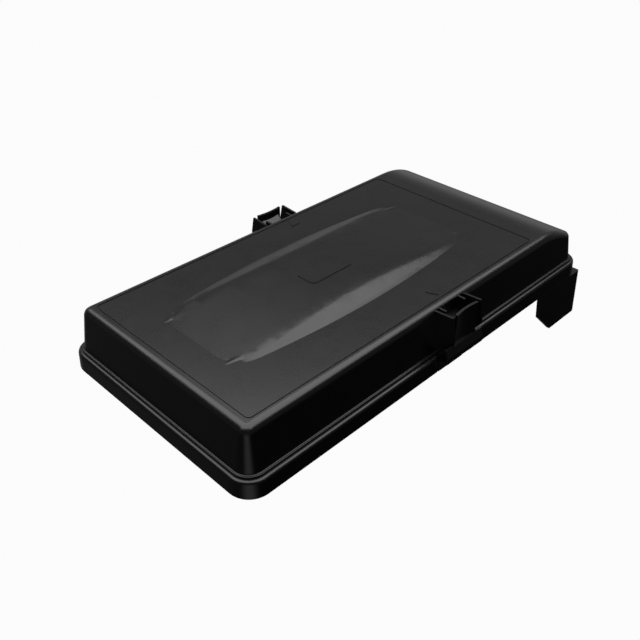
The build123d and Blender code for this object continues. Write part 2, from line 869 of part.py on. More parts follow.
def make_rod(y):
    """A bait rod of steel wire, turned up at its near end as a grip."""
    reach = post_x + rod_post_thickness / 2 + rod_tail
    near = tray_x - reach
    path = FilletPolyline(
        (near, y, rod_height + rod_grip_rise),
        (near, y, rod_height),
        (tray_x + reach, y, rod_height),
        radius=rod_bend,
    )
    section = Plane(origin=path @ 0, z_dir=path % 0) * Circle(rod_radius)
    return sweep(section, path=path)


def make_rod_stop(y):
    """The rubber stop pushed on a rod's far end."""
    post_end = tray_x + post_x + rod_post_thickness / 2
    x0 = post_end + slot_fit
    stop = rod_x(rod_stop_radius, x0, x0 + rod_stop_length, y, rod_height)
    stop = fillet(stop.edges().filter_by(GeomType.CIRCLE), rod_stop_round)
    return stop - rod_x(rod_radius, x0 - over, post_end + rod_tail, y, rod_height)


def make_block(x, y):
    """One pressed bait block: chamfered bar with a through hole and gnawing grooves."""
    z = rod_height
    body = Pos(x, y, z) * Box(block_length, block_width, block_height)
    body = chamfer(body.edges(), block_chamfer)
    rise = block_height / 2 + block_groove_radius - block_groove_depth
    for sx in (-1, 0, 1):
        for sz in (-1, 1):
            centre = Pos(x + sx * block_length / 4, y, z + sz * rise)
            body -= centre * Rot(90, 0, 0) * Cylinder(block_groove_radius, block_width + 2 * over)
    return body - rod_x(block_hole_radius, x - block_length, x + block_length, y, z)


def make_card():
    """The plain service card under the lid."""
    z = roof_inside - card_thickness
    place = Plane.XY.offset(z) * Pos(card_x, 0)
    return extrude(place * Rectangle(card_length, card_width), card_thickness)


# ---------------------------------------------------------------- write every node

os.makedirs("parts", exist_ok=True)

clip = make_clip()
clip_pin = make_clip_pin()
nodes = {
    "base": make_base(),
    "lid": make_lid(),
    "clip_right": clip,
    "clip_left": mirror(clip, Plane.XZ),
    "clip_pin_right": clip_pin,
    "clip_pin_left": mirror(clip_pin, Plane.XZ),
    "hinge_pin_right": make_hinge_pin(hinge_stations()[0]),
    "hinge_pin_left": make_hinge_pin(hinge_stations()[1]),
    "entry_baffle": make_baffle(),
    "bait_tray": make_tray(),
    "service_card": make_card(),
}
for row, y in (("right", -row_spacing / 2), ("left", row_spacing / 2)):
    nodes[f"bait_rod_{row}"] = make_rod(y)
    nodes[f"rod_stop_{row}"] = make_rod_stop(y)
    for index in range(block_count):
        x = tray_x + (index - (block_count - 1) / 2) * (block_length + block_gap)
        nodes[f"bait_block_{row}_{index + 1}"] = make_block(x, y)

for name, shape in nodes.items():
    export_step(shape, f"parts/{name}.step")
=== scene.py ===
# %% [markdown]
# # A black bait station, dressed for the camera
#
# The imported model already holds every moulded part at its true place. These cells add what a
# drawing leaves out: how the plastic takes the light, the grain of the pressed bait, the small
# marks a moulding tool leaves, and a studio to look at it all in. Every length is in metres, in
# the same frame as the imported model: X towards the entrance porch, Y across, Z up.

from math import radians

import bpy
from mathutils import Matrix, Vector


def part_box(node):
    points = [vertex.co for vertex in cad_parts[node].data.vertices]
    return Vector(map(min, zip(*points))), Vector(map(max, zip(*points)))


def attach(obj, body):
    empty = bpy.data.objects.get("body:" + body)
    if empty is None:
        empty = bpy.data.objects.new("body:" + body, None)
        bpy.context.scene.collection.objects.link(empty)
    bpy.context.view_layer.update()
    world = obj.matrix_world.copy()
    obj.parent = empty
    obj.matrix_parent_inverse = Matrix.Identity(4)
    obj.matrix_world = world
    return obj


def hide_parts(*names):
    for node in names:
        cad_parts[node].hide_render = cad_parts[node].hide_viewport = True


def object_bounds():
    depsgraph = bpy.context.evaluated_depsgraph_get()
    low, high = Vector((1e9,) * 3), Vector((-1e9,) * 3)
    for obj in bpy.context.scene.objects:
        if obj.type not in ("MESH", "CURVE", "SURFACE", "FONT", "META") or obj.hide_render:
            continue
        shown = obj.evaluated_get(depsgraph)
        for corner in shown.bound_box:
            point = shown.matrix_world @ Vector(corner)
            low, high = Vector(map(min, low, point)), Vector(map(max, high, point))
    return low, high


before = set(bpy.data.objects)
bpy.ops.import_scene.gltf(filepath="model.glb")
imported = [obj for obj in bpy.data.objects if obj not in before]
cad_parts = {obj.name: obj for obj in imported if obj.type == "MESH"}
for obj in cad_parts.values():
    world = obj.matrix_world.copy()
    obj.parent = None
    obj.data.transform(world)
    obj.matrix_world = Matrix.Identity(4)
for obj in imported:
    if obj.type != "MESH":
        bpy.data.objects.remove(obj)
cad_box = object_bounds()
MM = 0.001

# %% [markdown]
# ## The camera
#
# The station is looked at from above its near corner, along a direction that makes equal angles
# with all three axes. A long lens would flatten it. This one is of medium length and stands less
# than half a metre away, so the far end draws in slightly. The camera could be placed by hand;
# stepping back from the point it looks at keeps the view easy to change.

# %% Camera
VIEW_DIRECTION = Vector((1.0, 1.0, -1.0)).normalized()
LOOK_AT = Vector((-20.7, 3.2, 2.6)) * MM
STEP_BACK = 479.8 * MM
LENS_ANGLE = radians(45.0)
NEAR_CLIP = 10.0 * MM

camera_data = bpy.data.cameras.new("camera")
camera_data.angle = LENS_ANGLE
camera_data.clip_start = NEAR_CLIP
camera = bpy.data.objects.new("camera", camera_data)
bpy.context.collection.objects.link(camera)
camera.location = LOOK_AT - VIEW_DIRECTION * STEP_BACK
camera.rotation_euler = VIEW_DIRECTION.to_track_quat("-Z", "Y").to_euler()
bpy.context.scene.camera = camera
print("camera stands at", [round(value, 3) for value in camera.location])

# %% [markdown]
# ## The studio
#
# Black plastic shows almost nothing of its own colour. What the eye reads is what it mirrors, so
# the studio is built for its reflections: a wide soft box overhead lights the rounded edges and
# the near flank of the crown, a dim grey surround that brightens towards the horizon is what
# the roof picks up at a glancing angle, and little comes from below, which leaves the upright
# walls dark. Most of that little comes from one side, so that the two walls differ. An image of a
# studio would do the same, but ramps on the ray's direction are easy to tune.

# %% Surround
# A span gives the two ends of a ramp. Away is how far a ray goes from the camera, across is how
# far it goes to the camera's left and up is how far it rises.
HORIZON_LEVEL = 0.58
SURROUND_LEVEL = 0.24
BELOW_LEVELS = (0.04, 0.23)
NEAR_SHARE = 0.25
RISE_SPAN = (-0.35, 0.06)
FALL_SPAN = (0.08, 0.42)
AWAY_SPAN = (0.2, 1.0)
WHOLE_SPAN = (-1.0, 1.0)


def maths(tree, operation, first, second=None, clamp=False):
    """A maths node on two sockets or numbers; returns its result socket."""
    node = tree.nodes.new("ShaderNodeMath")
    node.operation = operation
    node.use_clamp = clamp
    for index, value in enumerate((first, second)):
        if isinstance(value, bpy.types.NodeSocket):
            tree.links.new(value, node.inputs[index])
        elif value is not None:
            node.inputs[index].default_value = value
    return node.outputs[0]


def ramp(tree, value, start, end, low=0.0, high=1.0, smooth=True):
    """Carries a value from start..end to low..high; each of them is a socket or a number."""
    node = tree.nodes.new("ShaderNodeMapRange")
    node.interpolation_type = "SMOOTHSTEP" if smooth else "LINEAR"
    tree.links.new(value, node.inputs["Value"])
    for label, limit in (("From Min", start), ("From Max", end), ("To Min", low), ("To Max", high)):
        if isinstance(limit, bpy.types.NodeSocket):
            tree.links.new(limit, node.inputs[label])
        else:
            node.inputs[label].default_value = limit
    return node.outputs[0]


world = bpy.data.worlds.new("studio")
bpy.context.scene.world = world
world.use_nodes = True
sky = world.node_tree
sky.nodes.clear()
direction = sky.nodes.new("ShaderNodeSeparateXYZ")
sky.links.new(sky.nodes.new("ShaderNodeTexCoord").outputs["Generated"], direction.inputs[0])
east, north, up = direction.outputs
away = maths(sky, "ADD", east, north)
across = maths(sky, "SUBTRACT", north, east)

below = ramp(sky, across, *WHOLE_SPAN, *BELOW_LEVELS, smooth=False)
rise = ramp(sky, up, *RISE_SPAN, below, HORIZON_LEVEL)
fall = ramp(sky, up, *FALL_SPAN, 0.0, HORIZON_LEVEL - SURROUND_LEVEL)
side_share = ramp(sky, away, *AWAY_SPAN, NEAR_SHARE, 1.0)
surround_level = maths(sky, "MULTIPLY", maths(sky, "SUBTRACT", rise, fall), side_share)
print("horizon", HORIZON_LEVEL, "surround", SURROUND_LEVEL, "below", BELOW_LEVELS)

# %% Reflector card and backdrop
# A pale card on the camera's side, below the level of the station, draws the bright upright line on
# the near corner. The camera itself sees a plain pale backdrop.
CARD_LEVEL = 0.55
CARD_SIDE_SPAN = (0.7, 0.1)
CARD_NEAR_SPAN = (-0.5, -1.0)
CARD_LOW_SPAN = (-0.05, -0.3)
PALE = (0.97, 0.97, 0.97, 1.0)

card_middle = ramp(sky, maths(sky, "ABSOLUTE", across), *CARD_SIDE_SPAN)
card_near = ramp(sky, away, *CARD_NEAR_SPAN)
card_low = ramp(sky, up, *CARD_LOW_SPAN)
card_shape = maths(sky, "MULTIPLY", card_middle, card_near)
card_light = maths(sky, "MULTIPLY", card_shape, maths(sky, "MULTIPLY", card_low, CARD_LEVEL))
around = sky.nodes.new("ShaderNodeBackground")
sky.links.new(maths(sky, "ADD", surround_level, card_light), around.inputs["Strength"])
backdrop = sky.nodes.new("ShaderNodeBackground")
backdrop.inputs["Color"].default_value = PALE
choose = sky.nodes.new("ShaderNodeMixShader")
sky.links.new(sky.nodes.new("ShaderNodeLightPath").outputs["Is Camera Ray"], choose.inputs[0])
sky.links.new(around.outputs[0], choose.inputs[1])
sky.links.new(backdrop.outputs[0], choose.inputs[2])
sky.links.new(choose.outputs[0], sky.nodes.new("ShaderNodeOutputWorld").inputs["Surface"])
bpy.context.scene.view_settings.view_transform = "Standard"
print("reflector card", CARD_LEVEL)

# %% Soft box
# It hangs a little tilted, its far edge the lower one, so that the roof mirrors that edge and
# turns brighter towards its near corner.
SOFT_BOX_WIDTH = 2.75
SOFT_BOX_DEPTH = 2.1
SOFT_BOX_PLACE = Vector((0.01, 0.01, 1.332))
SOFT_BOX_FACING = Vector((-0.15, -0.15, -1.3))
SOFT_BOX_POWER = 53.7

light_data = bpy.data.lights.new("overhead_soft_box", "AREA")
light_data.shape = "RECTANGLE"
light_data.size = SOFT_BOX_WIDTH
light_data.size_y = SOFT_BOX_DEPTH
light_data.energy = SOFT_BOX_POWER
overhead = bpy.data.objects.new("overhead_soft_box", light_data)
bpy.context.collection.objects.link(overhead)
overhead.location = SOFT_BOX_PLACE
overhead.rotation_euler = SOFT_BOX_FACING.to_track_quat("-Z", "Y").to_euler()
print("soft box", SOFT_BOX_WIDTH, "by", SOFT_BOX_DEPTH, "m")

# %% [markdown]
# ## The floor
#
# One flat sheet just under the porch's foot. It glows evenly, so that it keeps the same pale tone
# from every side, and it's hidden from reflections, so that it doesn't wash out the dark walls.

# %% Floor
FLOOR_HALF = 30.0
FLOOR_GAP = 0.3 * MM
FLOOR_SIGNS = ((-1, -1), (1, -1), (1, 1), (-1, 1))

floor_mesh = bpy.data.meshes.new("floor")
floor_z = cad_box[0][2] - FLOOR_GAP
floor_corners = [(x * FLOOR_HALF, y * FLOOR_HALF, floor_z) for x, y in FLOOR_SIGNS]
floor_mesh.from_pydata(floor_corners, [], [(0, 1, 2, 3)])
floor = bpy.data.objects.new("floor", floor_mesh)
bpy.context.collection.objects.link(floor)
floor.visible_glossy = False
floor.visible_diffuse = False
floor_finish = bpy.data.materials.new("pale_floor")
floor_finish.use_nodes = True
floor_shader = floor_finish.node_tree.nodes["Principled BSDF"]
floor_shader.inputs["Base Color"].default_value = (0.0, 0.0, 0.0, 1.0)
floor_shader.inputs["Emission Color"].default_value = PALE
floor_shader.inputs["Emission Strength"].default_value = 1.0
floor_shader.inputs["Specular IOR Level"].default_value = 0.0
floor_mesh.materials.append(floor_finish)
print("floor at", round(floor_z, 4))

# %% [markdown]
# ## Shared effects
#
# Three effects are shared, each with its own strength in each finish: the fine spark-eroded grain
# of a moulding tool with its slow change of tone, edges rubbed pale by handling, and dust that
# settles on what faces up. Each is a node group, built once. A group only hands out masks
# and heights; the shader that uses them stays in its own material.

# %% Tools for node groups
VECTOR = "NodeSocketVector"
NUMBER = "NodeSocketFloat"


def effect_group(name, numbers, results):
    """A shader group with a Place input, named number inputs and named number outputs."""
    group = bpy.data.node_groups.new(name, "ShaderNodeTree")
    group.interface.new_socket(name="Place", in_out="INPUT", socket_type=VECTOR)
    for label, value in numbers.items():
        socket = group.interface.new_socket(name=label, in_out="INPUT", socket_type=NUMBER)
        socket.default_value = value
    for label in results:
        group.interface.new_socket(name=label, in_out="OUTPUT", socket_type=NUMBER)
    return group, group.nodes.new("NodeGroupInput"), group.nodes.new("NodeGroupOutput")


def noise(tree, place, scale, detail=3.0, roughness=0.55):
    """A noise texture in metres; scale is a number or a socket. Returns its value socket."""
    texture = tree.nodes.new("ShaderNodeTexNoise")
    texture.inputs["Detail"].default_value = detail
    texture.inputs["Roughness"].default_value = roughness
    tree.links.new(place, texture.inputs["Vector"])
    if isinstance(scale, (int, float)):
        texture.inputs["Scale"].default_value = scale
    else:
        tree.links.new(scale, texture.inputs["Scale"])
    return texture.outputs["Fac"]


# %% Moulded grain
GRAINS_PER_METRE = 2600.0
PATCHES_PER_METRE = 90.0

grain_group, grain_in, grain_out = effect_group(
    "moulded_grain",
    {"Fineness": GRAINS_PER_METRE, "Patch Scale": PATCHES_PER_METRE},
    ("Height", "Tone"),
)
pits = noise(grain_group, grain_in.outputs["Place"], grain_in.outputs["Fineness"], detail=2.0)
grain_group.links.new(pits, grain_out.inputs["Height"])
mottle = noise(grain_group, grain_in.outputs["Place"], grain_in.outputs["Patch Scale"], detail=4.0)
grain_group.links.new(mottle, grain_out.inputs["Tone"])
print("group", grain_group.name)

# %% Rubbed edges
# The Bevel node turns a face's direction near a sharp edge. Where that direction differs from
# the face's own, there is an edge. A noise breaks the line up, as handling does.
EDGE_REACH = 0.7 * MM
EDGE_SAMPLES = 4
EDGE_SPAN = (0.02, 0.22)
WEAR_PATCH_SPAN = (0.38, 0.66)

wear_group, wear_in, wear_out = effect_group(
    "rubbed_edges", {"Amount": 0.5, "Patch Scale": 120.0}, ("Mask",)
)
softened = wear_group.nodes.new("ShaderNodeBevel")
softened.samples = EDGE_SAMPLES
softened.inputs["Radius"].default_value = EDGE_REACH
facing = wear_group.nodes.new("ShaderNodeNewGeometry")
agree = wear_group.nodes.new("ShaderNodeVectorMath")
agree.operation = "DOT_PRODUCT"
wear_group.links.new(softened.outputs["Normal"], agree.inputs[0])
wear_group.links.new(facing.outputs["Normal"], agree.inputs[1])
turned = maths(wear_group, "SUBTRACT", 1.0, agree.outputs["Value"])
edge = ramp(wear_group, turned, *EDGE_SPAN)
patches = noise(wear_group, wear_in.outputs["Place"], wear_in.outputs["Patch Scale"], detail=4.0)
worn = maths(wear_group, "MULTIPLY", edge, ramp(wear_group, patches, *WEAR_PATCH_SPAN))
wear_mask = maths(wear_group, "MULTIPLY", worn, wear_in.outputs["Amount"])
wear_group.links.new(wear_mask, wear_out.inputs["Mask"])
print("group", wear_group.name)

# %% Settled dust
FACES_UP_SPAN = (0.55, 1.0)
SPECK_SPAN = (0.5, 0.78)
FILM_PATCHES_PER_METRE = 22.0

dust_group, dust_in, dust_out = effect_group(
    "settled_dust", {"Amount": 0.1, "Speck Scale": 700.0}, ("Mask",)
)
upward = dust_group.nodes.new("ShaderNodeNewGeometry")
lean = dust_group.nodes.new("ShaderNodeSeparateXYZ")
dust_group.links.new(upward.outputs["Normal"], lean.inputs[0])
faces_up = ramp(dust_group, lean.outputs["Z"], *FACES_UP_SPAN)
specks = noise(dust_group, dust_in.outputs["Place"], dust_in.outputs["Speck Scale"], detail=5.0)
speck_mask = ramp(dust_group, specks, *SPECK_SPAN)
film = noise(dust_group, dust_in.outputs["Place"], FILM_PATCHES_PER_METRE)
cover = maths(dust_group, "ADD", speck_mask, film, clamp=True)
lying = maths(dust_group, "MULTIPLY", cover, faces_up)
dust_mask = maths(dust_group, "MULTIPLY", lying, dust_in.outputs["Amount"])
dust_group.links.new(dust_mask, dust_out.inputs["Mask"])
print("group", dust_group.name)

# %% [markdown]
# ## Moulded plastic
#
# The base and the lid are black polypropylene with a satin, spark-eroded skin. It could be one
# dark colour with a fixed roughness, but the real skin has a fine grain that breaks up each
# highlight, edges that handling has rubbed paler and a trace of dust. One function makes every
# moulded finish, so that the clips and the grey inner parts are the same stuff in another colour.

# %% Moulded finish
PLASTIC_IOR = 1.49
DUST_COLOUR = (0.30, 0.28, 0.25)
TONE_SPREAD = 0.15
GLOSS_SPREAD = 0.06
WORN_ROUGHNESS = 0.12


def group_node(tree, group, place, **values):
    """Places an effect group in a material, with its own values."""
    node = tree.nodes.new("ShaderNodeGroup")
    node.node_tree = group
    tree.links.new(place, node.inputs["Place"])
    for label, value in values.items():
        node.inputs[label.replace("_", " ")].default_value = value
    return node


def blend_colours(tree, mask, first, second):
    """Mixes two colours, or a socket and a colour, by a mask. Returns the colour socket."""
    mix = tree.nodes.new("ShaderNodeMix")
    mix.data_type = "RGBA"
    tree.links.new(mask, mix.inputs["Factor"])
    for label, value in (("A", first), ("B", second)):
        socket = [item for item in mix.inputs if item.name == label and item.type == "RGBA"][0]
        if isinstance(value, tuple):
            socket.default_value = (*value, 1.0)
        else:
            tree.links.new(value, socket)
    return [item for item in mix.outputs if item.type == "RGBA"][0]


def bump(tree, height_socket, distance):
    """A bump node; distance is the real height in metres."""
    node = tree.nodes.new("ShaderNodeBump")
    node.inputs["Distance"].default_value = distance
    tree.links.new(height_socket, node.inputs["Height"])
    return node.outputs["Normal"]


def blank_finish(name, ior, specular=0.5):
    """A new material with its shader, its tree and the object's own coordinates."""
    material = bpy.data.materials.new(name)
    material.use_nodes = True
    tree = material.node_tree
    shader = tree.nodes["Principled BSDF"]
    shader.inputs["IOR"].default_value = ior
    shader.inputs["Specular IOR Level"].default_value = specular
    place = tree.nodes.new("ShaderNodeTexCoord").outputs["Object"]
    return material, tree, shader, place


def moulded_finish(name, colour, rubbed, roughness, grain_depth, wear, dust):
    """Moulded plastic: a colour, the paler colour of its rubbed edges, and how rough it is."""
    material, tree, shader, place = blank_finish(name, PLASTIC_IOR)
    grain = group_node(tree, grain_group, place, Fineness=GRAINS_PER_METRE)
    worn_edges = group_node(tree, wear_group, place, Amount=wear)
    settled = group_node(tree, dust_group, place, Amount=dust)
    darker = tuple((1 - TONE_SPREAD) * part for part in colour)
    paler = tuple((1 + TONE_SPREAD) * part for part in colour)
    body = blend_colours(tree, grain.outputs["Tone"], darker, paler)
    body = blend_colours(tree, worn_edges.outputs["Mask"], body, rubbed)
    body = blend_colours(tree, settled.outputs["Mask"], body, DUST_COLOUR)
    tree.links.new(body, shader.inputs["Base Color"])
    tone = maths(tree, "MULTIPLY", grain.outputs["Tone"], GLOSS_SPREAD)
    skin = maths(tree, "ADD", tone, roughness - GLOSS_SPREAD / 2)
    scuffed = maths(tree, "MULTIPLY", worn_edges.outputs["Mask"], WORN_ROUGHNESS)
    tree.links.new(maths(tree, "ADD", skin, scuffed), shader.inputs["Roughness"])
    tree.links.new(bump(tree, grain.outputs["Height"], grain_depth), shader.inputs["Normal"])
    return material


MOULDED_BLACK = (0.0018, 0.0018, 0.0020)
TRAY_GREY = (0.085, 0.088, 0.092)
RUBBED_BLACK = (0.016, 0.016, 0.017)
RUBBED_GREY = (0.16, 0.16, 0.165)

shell_finish = moulded_finish(
    "shell_black_satin",
    MOULDED_BLACK,
    RUBBED_BLACK,
    roughness=0.28,
    grain_depth=0.005 * MM,
    wear=0.3,
    dust=0.006,
)
clip_finish = moulded_finish(
    "clip_black_smooth",
    MOULDED_BLACK,
    RUBBED_BLACK,
    roughness=0.27,
    grain_depth=0.006 * MM,
    wear=0.5,
    dust=0.008,
)
tray_finish = moulded_finish(
    "tray_grey_moulded",
    TRAY_GREY,
    RUBBED_GREY,
    roughness=0.44,
    grain_depth=0.016 * MM,
    wear=0.3,
    dust=0.05,
)
print("finishes", [item.name for item in (shell_finish, clip_finish, tray_finish)])

# %% [markdown]
# ## Wire, rubber and card
#
# The pins and the bait rods are bright drawn wire, whose die leaves fine lines along its length.
# A noise stretched a hundred times along the wire draws those lines. The rod stops are matt
# rubber with a soft, dusty skin. The service card is uncoated board: fibres show as faint flecks.

# %% Drawn wire
WIRE_COLOUR = (0.60, 0.60, 0.585)
WIRE_TARNISH = (0.33, 0.31, 0.28)
WIRE_IOR = 1.5
DIE_LINES_PER_METRE = 9000.0
ALONG_STRETCH = 0.01
DIE_LINE_DEPTH = 0.006 * MM
STAINS_PER_METRE = 160.0
STAIN_SPAN = (0.5, 0.75)
WIRE_ROUGHNESS = 0.24
STAINED_ROUGHNESS = 0.22


def wire_finish(name, along):
    """Bright drawn wire whose die lines run along one axis."""
    material, tree, shader, place = blank_finish(name, WIRE_IOR)
    shader.inputs["Metallic"].default_value = 1.0
    stretch = tree.nodes.new("ShaderNodeMapping")
    scale = tuple(ALONG_STRETCH if axis == along else 1.0 for axis in "xyz")
    stretch.inputs["Scale"].default_value = scale
    tree.links.new(place, stretch.inputs["Vector"])
    lines = noise(tree, stretch.outputs["Vector"], DIE_LINES_PER_METRE, detail=2.0)
    stains = ramp(tree, noise(tree, place, STAINS_PER_METRE, detail=5.0), *STAIN_SPAN)
    body = blend_colours(tree, stains, WIRE_COLOUR, WIRE_TARNISH)
    tree.links.new(body, shader.inputs["Base Color"])
    dulled = maths(tree, "MULTIPLY", stains, STAINED_ROUGHNESS)
    tree.links.new(maths(tree, "ADD", dulled, WIRE_ROUGHNESS), shader.inputs["Roughness"])
    tree.links.new(bump(tree, lines, DIE_LINE_DEPTH), shader.inputs["Normal"])
    return material


rod_finish = wire_finish("bright_rod_wire", "x")
hinge_pin_finish = wire_finish("bright_hinge_pin", "y")
print("wire", rod_finish.name, hinge_pin_finish.name)

# %% Rubber
RUBBER_IOR = 1.52
RUBBER_BLACK = (0.022, 0.022, 0.022)
RUBBER_GRAINS_PER_METRE = 1500.0

rubber_finish, tree, shader, place = blank_finish("stop_rubber", RUBBER_IOR, specular=0.35)
grain = group_node(tree, grain_group, place, Fineness=RUBBER_GRAINS_PER_METRE)
settled = group_node(tree, dust_group, place, Amount=0.12)
dusty = blend_colours(tree, settled.outputs["Mask"], RUBBER_BLACK, DUST_COLOUR)
tree.links.new(dusty, shader.inputs["Base Color"])
shader.inputs["Roughness"].default_value = 0.72
tree.links.new(bump(tree, grain.outputs["Height"], 0.03 * MM), shader.inputs["Normal"])
print("rubber", rubber_finish.name)

# %% Card
CARD_IOR = 1.45
CARD_FRESH = (0.80, 0.77, 0.69)
CARD_AGED = (0.69, 0.64, 0.54)
FIBRE_COLOUR = (0.46, 0.40, 0.31)
FIBRE_SHARE = 0.25
FIBRES_PER_METRE = 1800.0
FIBRE_SPAN = (0.52, 0.75)
AGEING_PATCHES_PER_METRE = 14.0

card_finish, tree, shader, place = blank_finish("uncoated_card", CARD_IOR, specular=0.25)
fibres = ramp(tree, noise(tree, place, FIBRES_PER_METRE, detail=4.0), *FIBRE_SPAN)
ageing = noise(tree, place, AGEING_PATCHES_PER_METRE)
board = blend_colours(tree, ageing, CARD_FRESH, CARD_AGED)
flecks = maths(tree, "MULTIPLY", fibres, FIBRE_SHARE)
tree.links.new(blend_colours(tree, flecks, board, FIBRE_COLOUR), shader.inputs["Base Color"])
shader.inputs["Roughness"].default_value = 0.85
tree.links.new(bump(tree, fibres, 0.02 * MM), shader.inputs["Normal"])
print("card", card_finish.name)

# %% [markdown]
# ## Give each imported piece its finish
#
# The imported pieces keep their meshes, because their shapes are right. Only what is in their
# material slots changes.

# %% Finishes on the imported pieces
FINISH_OF = {
    "base": shell_finish,
    "lid": shell_finish,
    "clip_left": clip_finish,
    "clip_right": clip_finish,
    "entry_baffle": tray_finish,
    "bait_tray": tray_finish,
    "service_card": card_finish,
}
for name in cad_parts:
    if name.startswith("rod_stop"):
        FINISH_OF[name] = rubber_finish
    elif name.startswith("hinge_pin"):
        FINISH_OF[name] = hinge_pin_finish
    elif name.startswith(("bait_rod", "clip_pin")):
        FINISH_OF[name] = rod_finish
for name, finish in FINISH_OF.items():
    packed_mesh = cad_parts[name].data
    packed_mesh.materials.clear()
    packed_mesh.materials.append(finish)
print("dressed", len(FINISH_OF), "packed pieces")

# %% [markdown]
# ## Geometry that repeats
#
# Lines, rings, flakes and crumbs all repeat, so each comes from a small geometry tree with named
# sizes. A loop in Python could place copies too, but a tree keeps the sizes in one place and can
# scatter over a surface. Each tree ends by making its copies real and giving them a material, and
# its result is then stored as a plain mesh that rides on a body.

# %% Tools for geometry trees
WHOLE = "NodeSocketInt"
SHAPE = "NodeSocketGeometry"


def shape_tree(name, numbers, vectors=None, wholes=None):
    """A geometry tree with one shape in and out, and named sizes."""
    tree = bpy.data.node_groups.new(name, "GeometryNodeTree")
    tree.interface.new_socket(name="Shape", in_out="INPUT", socket_type=SHAPE)
    tree.interface.new_socket(name="Shape", in_out="OUTPUT", socket_type=SHAPE)
    for kind, sizes in ((NUMBER, numbers), (VECTOR, vectors or {}), (WHOLE, wholes or {})):
        for label, value in sizes.items():
            socket = tree.interface.new_socket(name=label, in_out="INPUT", socket_type=kind)
            socket.default_value = value
    return tree, tree.nodes.new("NodeGroupInput"), tree.nodes.new("NodeGroupOutput")


def finish_tree(tree, shape_socket, output, finish):
    """Ends a tree: copies are made real and given their material."""
    real = tree.nodes.new("GeometryNodeRealizeInstances")
    paint = tree.nodes.new("GeometryNodeSetMaterial")
    paint.inputs["Material"].default_value = finish
    tree.links.new(shape_socket, real.inputs[0])
    tree.links.new(real.outputs[0], paint.inputs["Geometry"])
    tree.links.new(paint.outputs[0], output.inputs["Shape"])


def grow(name, tree, sizes, body, source=None):
    """Runs a tree on a source mesh with its own sizes and keeps the result as a plain piece."""
    start = source.copy() if source else bpy.data.meshes.new(name + "_seed")
    worker = bpy.data.objects.new(name + "_worker", start)
    bpy.context.collection.objects.link(worker)
    modifier = worker.modifiers.new(name, "NODES")
    modifier.node_group = tree
    for item in tree.interface.items_tree:
        if item.in_out == "INPUT" and item.name in sizes:
            modifier[item.identifier] = sizes[item.name]
    bpy.context.view_layer.update()
    evaluated = worker.evaluated_get(bpy.context.evaluated_depsgraph_get())
    mesh = bpy.data.meshes.new_from_object(evaluated)
    mesh.name = name
    bpy.data.objects.remove(worker)
    piece = bpy.data.objects.new(name, mesh)
    bpy.context.collection.objects.link(piece)
    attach(piece, body)
    print(name, len(mesh.polygons), "faces")
    return piece


# %% [markdown]
# ## Bait blocks
#
# A bait block is crushed grain pressed into shape with coloured wax. Its skin is uneven, with
# flakes of grain standing a little proud of the wax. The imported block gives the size, the
# grooves and the hole for the rod. The tree turns it into an even skin, roughens it with noise
# and scatters flattened flakes half sunk into it. Sculpting by hand would look as good, but six
# blocks that are all different come from one tree with six seeds.

# %% Bait finishes
WAX_COLOUR = (0.030, 0.235, 0.255)
WAX_PALE = (0.075, 0.38, 0.39)
FLAKE_COLOUR = (0.36, 0.43, 0.30)
FLAKE_DARK = (0.12, 0.27, 0.22)
WAX_IOR = 1.44
PATCH_SPAN = (0.36, 0.64)
GRIT_PER_METRE = 2400.0
GRIT_HEIGHT = 0.08 * MM
GRIT_ROUGHNESS = 0.25
LIGHT_REACH = 1.5 * MM
LIGHT_SHARE = 0.12


def bait_finish(name, first, second, patch_scale, least_roughness):
    """Waxed grain: two tones in patches, with light passing a little way into the wax."""
    material, tree, shader, place = blank_finish(name, WAX_IOR)
    patches = ramp(tree, noise(tree, place, patch_scale, detail=4.0), *PATCH_SPAN)
    grit = noise(tree, place, GRIT_PER_METRE, detail=4.0)
    tree.links.new(blend_colours(tree, patches, first, second), shader.inputs["Base Color"])
    gritty = maths(tree, "MULTIPLY", grit, GRIT_ROUGHNESS)
    tree.links.new(maths(tree, "ADD", gritty, least_roughness), shader.inputs["Roughness"])
    shader.inputs["Subsurface Weight"].default_value = LIGHT_SHARE
    shader.inputs["Subsurface Scale"].default_value = LIGHT_REACH
    tree.links.new(bump(tree, grit, GRIT_HEIGHT), shader.inputs["Normal"])
    return material


wax_finish = bait_finish("pressed_bait_wax", WAX_COLOUR, WAX_PALE, 420.0, 0.32)
flake_finish = bait_finish("bait_grain_flake", FLAKE_COLOUR, FLAKE_DARK, 260.0, 0.45)
print("bait", wax_finish.name, flake_finish.name)

# %% Bait block tree
LUMPS_PER_METRE = 480.0
LUMP_LEVEL = 0.62
LUMP_GAIN = 2.0
FLAKE_SHAPE = (0.62, 0.36, 0.12)
FLAKE_TILT = 0.3
FULL_TURN = 6.28
FLAKE_SCALES = (0.55, 1.0)
BALL_STEPS = 2

bait_tree, bait_in, bait_out = shape_tree(
    "pressed_bait",
    {
        "Skin Size": 0.8 * MM,
        "Roughening": 0.45 * MM,
        "Flake Size": 1.5 * MM,
        "Flakes Per Area": 75000.0,
    },
    wholes={"Seed": 1},
)


def add_node(tree, kind, **links):
    """Adds a geometry node and links or sets its inputs by name."""
    node = tree.nodes.new(kind)
    for label, value in links.items():
        socket = node.inputs[label.replace("_", " ")]
        if isinstance(value, bpy.types.NodeSocket):
            tree.links.new(value, socket)
        else:
            socket.default_value = value
    return node


